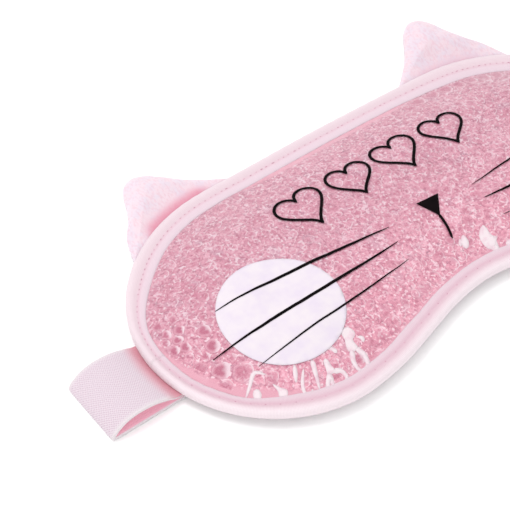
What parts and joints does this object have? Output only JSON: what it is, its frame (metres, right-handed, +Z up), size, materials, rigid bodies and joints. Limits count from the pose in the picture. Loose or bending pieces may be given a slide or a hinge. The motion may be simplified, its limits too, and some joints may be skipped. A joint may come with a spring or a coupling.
{
  "type": "eye pillow",
  "caption": "Gel bead eye pillow with a clear bead window, bound edge, two plush cat ears and an elastic head strap.",
  "frame": {"origin": "on the plane of symmetry at the height where the mask rests on its back, between its two lobes", "axes": "+X along the mask's length, +Y towards the ears, +Z up through the bead window"},
  "size_m": [0.256, 0.12, 0.0123],
  "materials": {
    "window_film": "clear glossy soft film",
    "back_film": "clear glossy soft film",
    "gel_beads": "wet translucent pink beads",
    "back_plush": "short-pile plush",
    "binding_tape": "fine woven tape",
    "thread": "spun sewing thread",
    "elastic": "ribbed knitted elastic",
    "ear_plush": "short-pile plush",
    "wadding": "loose polyester fibre"
  },
  "bodies": {
    "pad": {"window_film": "window_film", "back_film": "back_film", "gel_bead_fill": "gel_beads", "back_panel": "back_plush", "edge_binding": "binding_tape", "needle_thread": "thread", "bobbin_thread_brow": "thread", "bobbin_thread_nose": "thread", "strap_tail_left": "elastic", "strap_tail_right": "elastic"},
    "strap": {"strap_band": "elastic"},
    "ear_left": {"ear_left_front_cloth": "ear_plush", "ear_left_back_cloth": "ear_plush", "ear_left_wadding": "wadding"},
    "ear_right": {"ear_right_front_cloth": "ear_plush", "ear_right_back_cloth": "ear_plush", "ear_right_wadding": "wadding"}
  },
  "joints": [
    {"name": "strap_pull", "type": "slide", "parent": "pad", "child": "strap", "axis": [0, 0, -1], "range_m": [0, 0.09], "stiffness_N_per_m": 60},
    {"name": "ear_left_flop", "type": "hinge", "parent": "pad", "child": "ear_left", "pos_m": [-0.06192, 0.04817, 0.00495], "axis": [0.9646, 0.2639, 0], "range_deg": [-55, 58], "stiffness_Nm_per_rad": 0.02},
    {"name": "ear_right_flop", "type": "hinge", "parent": "pad", "child": "ear_right", "pos_m": [0.06192, 0.04817, 0.00495], "axis": [0.9646, -0.2639, 0], "range_deg": [-65, 44], "stiffness_Nm_per_rad": 0.02}
  ]
}
